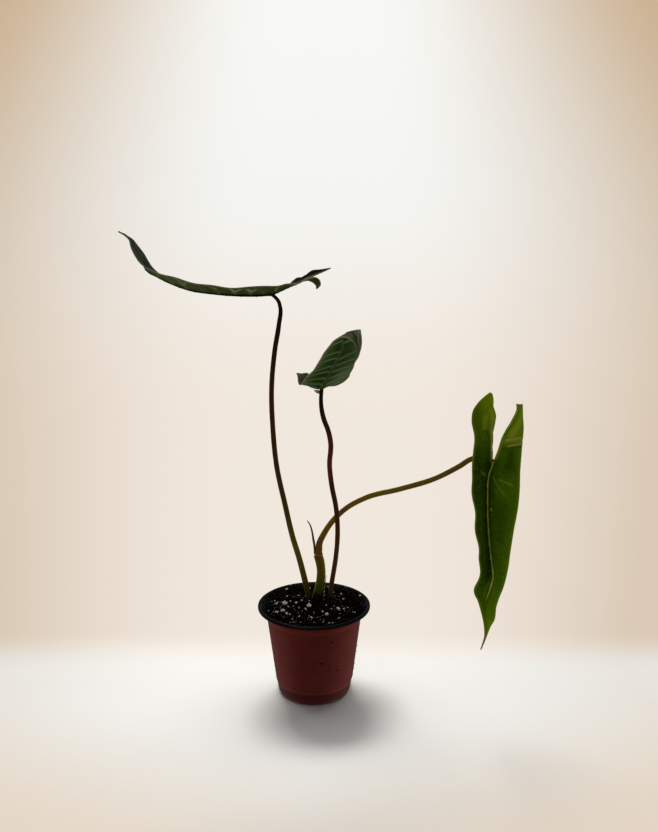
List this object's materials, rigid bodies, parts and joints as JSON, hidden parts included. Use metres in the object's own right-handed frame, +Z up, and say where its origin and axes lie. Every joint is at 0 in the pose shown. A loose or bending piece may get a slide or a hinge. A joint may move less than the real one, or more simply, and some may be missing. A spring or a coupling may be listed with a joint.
{
  "type": "potted philodendron billietiae",
  "caption": "Young climbing aroid with long ribbed leaves on thin upright petioles, growing in peat mix in a round plastic nursery pot.",
  "frame": {"origin": "centre of the pot's flat base, on the surface that it stands on", "axes": "+Z up; +X to the right and +Y away from the viewer, as the picture sees the plant"},
  "size_m": [0.3406, 0.1736, 0.4235],
  "materials": {
    "pot_red": "thermoformed, satin, red outside and black inside",
    "peat_mix": "loose, matte",
    "shoot_green": "waxy, semi-matte",
    "petiole_olive": "waxy, semi-matte",
    "petiole_dark": "waxy, semi-matte",
    "leaf_green": "waxy, quilted between the veins",
    "leaf_yellow_green": "waxy, quilted between the veins",
    "dry_sheath": "dry, papery"
  },
  "bodies": {
    "root": {"pot": "pot_red", "soil": "peat_mix", "stem": "shoot_green", "petiole_hanging": "petiole_olive", "leaf_hanging": "leaf_yellow_green", "petiole_level": "petiole_dark", "leaf_level": "leaf_green", "petiole_cupped": "petiole_dark", "leaf_cupped": "leaf_green", "cataphyll": "dry_sheath"}
  },
  "joints": []
}
